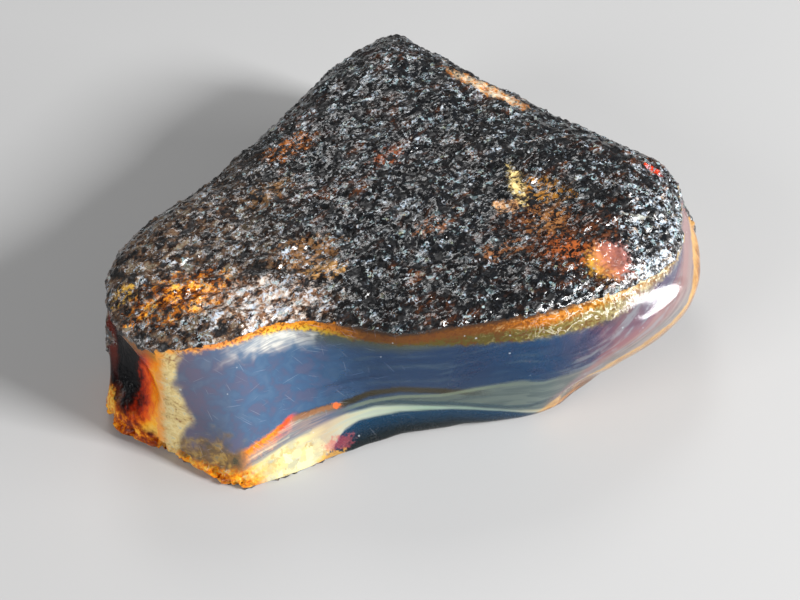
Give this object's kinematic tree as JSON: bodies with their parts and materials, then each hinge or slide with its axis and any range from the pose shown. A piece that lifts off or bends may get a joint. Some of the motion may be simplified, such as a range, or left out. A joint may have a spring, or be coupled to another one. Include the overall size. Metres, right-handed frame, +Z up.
{
  "type": "raw amber piece",
  "caption": "Raw lump of blue amber in its dark weathered crust, with one long side cut and polished; lies on its flat underside.",
  "frame": {"origin": "under the middle of the lump, at the height of the flat underside it rests on", "axes": "+X along the lump towards its rounded nose, the polished side faces -Y, +Z up out of the crusted top"},
  "size_m": [0.061, 0.0542, 0.0177],
  "materials": {
    "amber": "satin"
  },
  "bodies": {
    "root": {"amber_piece": "amber"}
  },
  "joints": []
}
